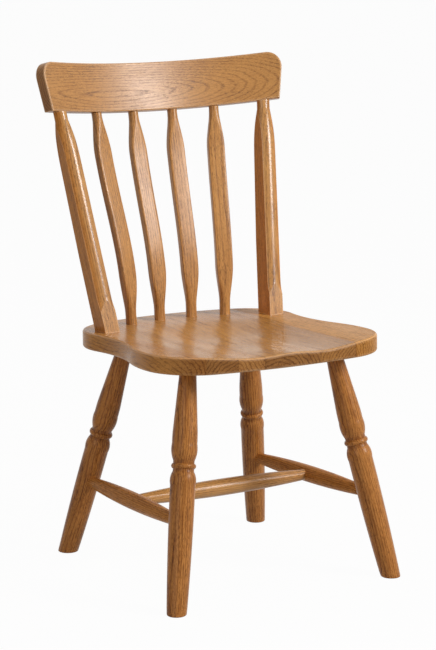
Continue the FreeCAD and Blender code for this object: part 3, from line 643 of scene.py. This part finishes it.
def build_flat_spindle():
    """A turned stick that is planed flat between its necks and bent forward."""
    inputs, outputs = STICK_INPUTS + SPINDLE_INPUTS, (("Stick", GEOMETRY),)
    tree, given, out = new_group("flat_spindle", "GeometryNodeTree", inputs, outputs)
    grid, radius, height, angle = round_the_profile(tree, given)
    from_top = tree.math("SUBTRACT", given["Length"], height)
    low = tree.ramp(height, given["Low neck"], given["Low full"])
    high = tree.ramp(from_top, given["High neck"], given["High full"])
    flat = tree.math("MINIMUM", low, high)
    power = tree.math("DIVIDE", 2.0, tree.plus(2.0, given["Squareness"], flat))

    def half_side(full, turn):
        wide = tree.math("SUBTRACT", tree.math("MULTIPLY", full, 0.5), radius)
        half = tree.plus(radius, wide, flat)
        swing = tree.math(turn, angle)
        reach = tree.math("POWER", tree.math("ABSOLUTE", swing), power)
        return tree.math("MULTIPLY", tree.math("MULTIPLY", half, reach), tree.math("SIGN", swing))

    x = half_side(given["Flat width"], "COSINE")
    y = half_side(given["Flat thickness"], "SINE")
    share = tree.math("DIVIDE", height, given["Length"])
    share = tree.math("DIVIDE", share, given["Bend end"], clamp=True)
    warped = tree.math("POWER", share, given["Bend warp"])
    swing = tree.math("COSINE", tree.math("MULTIPLY", warped, 2 * math.pi))
    half_bend = tree.math("MULTIPLY", given["Bend"], 0.5)
    forward = tree.math("MULTIPLY", tree.math("SUBTRACT", 1.0, swing), half_bend)
    straight = tree.joined(x, y, height)
    bent = tree.joined(x, tree.math("SUBTRACT", y, forward), height)
    set_in_place(tree, given, out, grid, straight, bent)
    return tree.tree


turned_stick = build_turned_stick()
flat_spindle = build_flat_spindle()
SOCKETS = {}
for group in (turned_stick, flat_spindle):
    inputs = [item for item in group.interface.items_tree if item.in_out == "INPUT"]
    SOCKETS[group.name] = {item.name: item.identifier for item in inputs}

STEPS_AROUND = 64
BULGE_STEPS = 12
SWELL_STEPS = 48
LONGEST_STEP = 0.008
FOOT_EDGE_R = 0.002
FOOT_EDGE_STEPS = 4


def bowed(start, end, radius, steps):
    """Points of an arc from start to end that bulges away from the turning axis, without its end."""
    chord = end - start
    half = chord.length / 2
    out = Vector((chord.y, -chord.x)).normalized()
    centre = (start + end) / 2 - out * math.sqrt(radius ** 2 - half ** 2)
    opening = 2 * math.asin(half / radius)
    first = start - centre
    return [centre + Matrix.Rotation(opening * step / steps, 2) @ first for step in range(steps)]


def straight(start, end, steps):
    return [start.lerp(end, step / steps) for step in range(steps)]


def turning_profile(corners):
    """Points of a profile. Each corner is a radius, a height and the roundness of a bulge after it."""
    points = []
    for (radius, height, bow), (next_radius, next_height, _) in zip(corners, corners[1:]):
        start = Vector((radius, height))
        end = Vector((next_radius, next_height))
        if bow:
            points += bowed(start, end, bow, BULGE_STEPS)
        else:
            points += straight(start, end, max(1, math.ceil((end - start).length / LONGEST_STEP)))
    return points + [Vector(corners[-1][:2])]


def along_plank(step, number):
    """Where the stick of this number lies in the plank that all its kind are sawn from."""
    return tuple(part * number for part in step)


def shape_stick(name, node, group, profile, values):
    """Runs a stick's tree on its profile and lets the plain mesh stand for the node."""
    mesh = bpy.data.meshes.new(name + "_profile")
    points = [(point.x, 0, point.y) for point in profile]
    mesh.from_pydata(points, [(i, i + 1) for i in range(len(points) - 1)], [])
    stick = bpy.data.objects.new(name, mesh)
    scene.collection.objects.link(stick)
    modifier = stick.modifiers.new("shaping", "NODES")
    modifier.node_group = group
    for label, value in values.items():
        modifier[SOCKETS[group.name][label]] = value
    rounding = stick.modifiers.new("foot_rounding", "BEVEL")
    rounding.limit_method = "WEIGHT"
    rounding.width = FOOT_EDGE_R
    rounding.segments = FOOT_EDGE_STEPS
    shaped = stick.evaluated_get(bpy.context.evaluated_depsgraph_get())
    stick.data = bpy.data.meshes.new_from_object(shaped)
    stick.data.name = name
    stick.modifiers.clear()
    bpy.data.meshes.remove(mesh)
    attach(stick, "root")
    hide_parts(node)


# legs; heights are measured along the leg from the middle of its bead

BEAD_ROOT_R = 0.0188
HOLLOW_REACH = 0.018
FOOT_CLEAR = 0.008
LEG_PROFILE = [
    (0.0, -0.290, None),
    (0.0167, -0.290, 5.2),
    (0.0224, -0.034, 0.034),
    (0.0190, -0.0095, None),
    (BEAD_ROOT_R, -0.0050, 0.0054),
    (BEAD_ROOT_R, 0.0050, None),
    (0.0190, 0.0095, 0.052),
    (0.0225, 0.040, 0.300),
    (0.0223, 0.060, None),
    (0.0150, 0.167, None),
    (0.0150, 0.188, None),
    (0.0, 0.188, None),
]
LEG_HEART = (0.15, 0.0, 0)
LEG_TONE = (0.96, 0.80, 0.64)
LEG_PLANK_STEP = (0.011, 0.007, 0.9)


def leg_profile(leg):
    """The turning of one leg, with a flat foot and no ring close above the foot's edge."""
    points = turning_profile(LEG_PROFILE)
    foot_height = FOOT_CLEAR - leg.bead_height * leg.lean.length
    foot = [point for point in points if point.y < foot_height]
    edge = Vector((foot[-1].x, foot[0].y))
    return [foot[0], edge] + points[len(foot):]


leg_oak = stick_oak("leg_oak", TURNED, LEG_HEART, LEG_TONE)
for number, (name, leg) in enumerate(LEGS.items()):
    values = {
        "Steps around": STEPS_AROUND,
        "Start": leg.at(leg.bead_height),
        "Along": leg.lean.normalized(),
        "Across": (1, 0, 0),
        "Plank place": along_plank(LEG_PLANK_STEP, number),
        "Hollow radius": BEAD_ROOT_R,
        "Hollow reach": HOLLOW_REACH,
        "Material": leg_oak,
    }
    shape_stick(name + "_turned", name, turned_stick, leg_profile(leg), values)

# stretchers

STRETCHER_END_R = 0.0103
STRETCHER_RISE = 0.0057
SIDE_SWELL_START, SIDE_TENON_START = 0.027, 0.005
CROSS_SWELL_START, CROSS_TENON_START = 0.0175, 0.0035
STRETCHER_HEART = (0.10, -0.02, 0)
# the side bars' tone is tinted redder, with less green and blue, partly as painted shade
SIDE_BAR_TONE_AND_SHADE = (1.12, 0.95, 0.76)
# the cross bar's tone is paler and bluer, partly as a painted sheen
CROSS_BAR_TONE_AND_SHEEN = (1.17, 1.21, 1.28)
STRETCHER_PLANK_STEP = (0.008, -0.006, 0.7)


def stretcher_profile(length, swell_start, tenon_start):
    """The turning of a stretcher: one long swelling between two straight ends."""
    half = length / 2 - swell_start
    bow = (half ** 2 / STRETCHER_RISE + STRETCHER_RISE) / 2
    near_end = [Vector((0.0, tenon_start)), Vector((STRETCHER_END_R, tenon_start))]
    far_end = [
        Vector((STRETCHER_END_R, length - swell_start)),
        Vector((STRETCHER_END_R, length - tenon_start)),
        Vector((0.0, length - tenon_start)),
    ]
    swelling = bowed(Vector((STRETCHER_END_R, swell_start)), far_end[0], bow, SWELL_STEPS)
    return near_end + swelling + far_end


side_bar_oak = stick_oak("side_bar_oak", SIDE_BAR, STRETCHER_HEART, SIDE_BAR_TONE_AND_SHADE)
cross_bar_oak = stick_oak("cross_bar_oak", CROSS_BAR, STRETCHER_HEART, CROSS_BAR_TONE_AND_SHEEN)
for number, (name, (low, high)) in enumerate(STRETCHERS.items()):
    length = (high - low).length
    if name == "cross_stretcher":
        bar_oak = cross_bar_oak
        profile = stretcher_profile(length, CROSS_SWELL_START, CROSS_TENON_START)
    else:
        bar_oak = side_bar_oak
        profile = stretcher_profile(length, SIDE_SWELL_START, SIDE_TENON_START)
    values = {
        "Steps around": STEPS_AROUND,
        "Start": low,
        "Along": (high - low).normalized(),
        "Across": (0, 0, 1),
        "Plank place": along_plank(STRETCHER_PLANK_STEP, number),
        "Material": bar_oak,
    }
    shape_stick(name + "_turned", name, turned_stick, profile, values)

# spindles

SPINDLE_FOOT_R = 0.0104
SPINDLE_NECK_R = 0.0095
SPINDLE_STEP = 0.001
SPINDLE_OVERLENGTH = 0.003
SPINDLE_TENON_DEPTH = 0.019
HEAD_TENON_R = 0.006
HEAD_TENON_DEPTH = 0.030
BEND_AT, BEND_END = 0.3, 0.85
SPINDLE_SHAPE = {
    "Flat width": 0.033,
    "Flat thickness": 0.0155,
    "Squareness": 6.0,
    "Low neck": 0.022,
    "Low full": 0.096,
    "High full": 0.082,
    "High neck": 0.012,
    "Bend": 0.0125,
    "Bend end": BEND_END,
    "Bend warp": math.log(0.5) / math.log(BEND_AT / BEND_END),
}
SPINDLE_HEART = (0.060, -0.030, 0)
SPINDLE_TONE = (1.08, 1.06, 1.03)
SPINDLE_PLANK_STEP = (0.013, 0.009, 0.8)

spindle_oak = stick_oak("spindle_oak", SLIM, SPINDLE_HEART, SPINDLE_TONE)
for number, (name, (foot, arc)) in enumerate(SPINDLES.items()):
    head = under_rail(arc, RAIL_MIDDLE + SPINDLE_SET_BACK)
    length = (head - foot).length
    facing = arc / RAIL_BEND
    corners = [
        (0.0, -SPINDLE_TENON_DEPTH, None),
        (SPINDLE_FOOT_R, -SPINDLE_TENON_DEPTH, None),
        (SPINDLE_FOOT_R, length / 2, None),
        (SPINDLE_NECK_R, length / 2 + SPINDLE_STEP, None),
        (SPINDLE_NECK_R, length, None),
        (HEAD_TENON_R, length, None),
        (HEAD_TENON_R, length + HEAD_TENON_DEPTH, None),
        (0.0, length + HEAD_TENON_DEPTH, None),
    ]
    values = {
        "Steps around": STEPS_AROUND,
        "Start": foot,
        "Along": (head - foot).normalized(),
        "Across": (math.cos(facing), -math.sin(facing), 0),
        "Plank place": along_plank(SPINDLE_PLANK_STEP, number),
        "Material": spindle_oak,
        "Length": length + SPINDLE_OVERLENGTH,
        **SPINDLE_SHAPE,
    }
    shape_stick(name + "_planed", name, flat_spindle, turning_profile(corners), values)


# posts, seat boards and rail keep their construction's shape

class SeatBoard:
    """A seat board's middle, the place of the tree's heart, how dark its ends are, its tone and its cut."""

    def __init__(self, middle, heart, end_depth, tone, cut):
        self.middle, self.heart, self.end_depth = middle, heart, end_depth
        self.tone, self.cut = tone, cut


SEAT_BOARDS = {
    "seat_board_1": SeatBoard(-0.205, 0.06, 1.1, (1.10, 1.03, 0.92), SEAT),
    "seat_board_2": SeatBoard(-0.138, -0.05, 1.15, (1.06, 1.05, 1.02), SEAT),
    "seat_board_3": SeatBoard(-0.0825, 0.08, 0.90, (1.16, 1.15, 1.13), SEAT),
    "seat_board_4": SeatBoard(0.0015, 0.03, 1.30, (1.08, 1.08, 1.07), SEAT),
    "seat_board_5": SeatBoard(0.100, -0.07, 0.60, (0.93, 0.89, 0.80), SEAT),
    "seat_board_6": SeatBoard(0.190, 0.16, 0.72, (1.22, 1.18, 0.98), DULL_SEAT),
}
SEAT_HEART_DEPTH = -0.06
SEAT_PLANK_STEP = 0.07
GLUED_SIDEWAYS = (1, 0, 0)
BOARD_EDGE_REACH = 0.004
POST_EDGE_REACH = 0.0025
POST_TONE = (1.07, 1.07, 1.02)
POST_HEARTS = {"left_post": (0.03, -0.07, 0), "right_post": (0.05, -0.07, 0)}
RAIL_TONE = (0.97, 0.94, 0.86)
RAIL_HEART = (0.034, -0.016, 0)


def dress(node, material):
    mesh = nodes[node].data
    mesh.materials.clear()
    mesh.materials.append(material)


def grain_along(direction):
    return direction.to_track_quat("Z", "Y").to_matrix()


for name, (low, high) in POSTS.items():
    turn = grain_along(high - low)
    post_oak = board_oak(name + "_oak", low, turn, POST, POST_HEARTS[name], POST_TONE, POST_EDGE_REACH)
    dress(name, post_oak)

for number, (name, board) in enumerate(SEAT_BOARDS.items()):
    start = Vector((board.middle, SEAT_PLANK_STEP * number, SEAT_LEVEL))
    turn = grain_along(Vector((0, 1, 0)))
    heart = (board.heart, SEAT_HEART_DEPTH, 0)
    seat_oak = board_oak(
        name + "_oak", start, turn, board.cut, heart, board.tone, BOARD_EDGE_REACH,
        glued_way=GLUED_SIDEWAYS, end_depth=board.end_depth,
    )
    dress(name, seat_oak)

rail_oak = board_oak(
    "rail_oak", RAIL_FOOT, RAIL_TURN, RAIL, RAIL_HEART, RAIL_TONE, BOARD_EDGE_REACH, bend=RAIL_BEND,
)
dress("crest_rail", rail_oak)


# floor, light and camera

FLOOR_HALF = 30.0
FLOOR_PAINT = (0.55, 0.54, 0.52, 1)
FLOOR_GLOW_SHARE = 0.97
PURE_WHITE = (1, 1, 1, 1)
WARM_WHITE = (1.0, 0.93, 0.82)
WORLD_STRENGTH = 0.15
CAMERA_PLACE = Vector((-2.1828, -3.7057, 1.2851))
CAMERA_AIM = Vector((0, -0.009, 0.450))


def white_to_the_camera(tree):
    """One for rays that see the background itself, its reflection, or through to it."""
    path = tree.add("ShaderNodeLightPath").outputs
    seen = tree.math("ADD", path["Is Camera Ray"], path["Is Glossy Ray"])
    return tree.math("ADD", seen, path["Is Transmission Ray"], clamp=True)


def build_floor():
    half = FLOOR_HALF
    mesh = bpy.data.meshes.new("studio_floor")
    corners = [(-half, -half, 0), (half, -half, 0), (half, half, 0), (-half, half, 0)]
    mesh.from_pydata(corners, [], [(0, 1, 2, 3)])
    floor = bpy.data.objects.new("studio_floor", mesh)
    scene.collection.objects.link(floor)
    material, tree = start_material("studio_floor_white")
    paint = tree.add("ShaderNodeBsdfDiffuse", {"Color": FLOOR_PAINT})
    glow = tree.add("ShaderNodeEmission", {"Color": PURE_WHITE, "Strength": 1.0})
    share = tree.math("MULTIPLY", white_to_the_camera(tree), FLOOR_GLOW_SHARE)
    both = tree.add("ShaderNodeMixShader", {0: share, 1: paint.outputs[0], 2: glow.outputs[0]})
    tree.add("ShaderNodeOutputMaterial", {"Surface": both.outputs[0]})
    mesh.materials.append(material)


def build_world():
    world = bpy.data.worlds.new("studio")
    scene.world = world
    world.use_nodes = True
    world.node_tree.nodes.clear()
    tree = Tree(world.node_tree)
    level = tree.plus(WORLD_STRENGTH, white_to_the_camera(tree), 1.0 - WORLD_STRENGTH)
    sky = tree.add("ShaderNodeBackground", {"Color": PURE_WHITE, "Strength": level})
    tree.add("ShaderNodeOutputWorld", {"Surface": sky.outputs[0]})


def aimed(place, aim):
    return (Vector(aim) - Vector(place)).to_track_quat("-Z", "Y").to_euler()


def add_softbox(name, place, aim, width, height, power, color=(1, 1, 1)):
    lamp = bpy.data.lights.new(name, "AREA")
    lamp.shape = "RECTANGLE"
    lamp.size = width
    lamp.size_y = height
    lamp.energy = power
    lamp.color = color
    holder = bpy.data.objects.new(name, lamp)
    scene.collection.objects.link(holder)
    holder.location = place
    holder.rotation_euler = aimed(place, aim)


build_floor()
build_world()
add_softbox("main_softbox", (2.24, -3.08, 2.45), (0, 0.1, 0.75), width=1.3, height=1.3, power=150)
add_softbox(
    "left_softbox", (-3.6, -1.9, 1.7), (0, 0, 0.5), width=3.0, height=3.0, power=42, color=WARM_WHITE,
)
add_softbox("top_softbox", (0.3, 0.4, 3.4), (0, 0, 0.45), width=2.4, height=2.0, power=26)

camera_data = bpy.data.cameras.new("camera")
camera_data.sensor_fit = "VERTICAL"
camera_data.sensor_height = 36
camera_data.lens = 130.52
camera_data.shift_y = 0.0048
camera_data.clip_end = 100
camera = bpy.data.objects.new("camera", camera_data)
scene.collection.objects.link(camera)
camera.location = CAMERA_PLACE
camera.rotation_euler = aimed(CAMERA_PLACE, CAMERA_AIM)
scene.camera = camera
scene.view_settings.view_transform = "Standard"
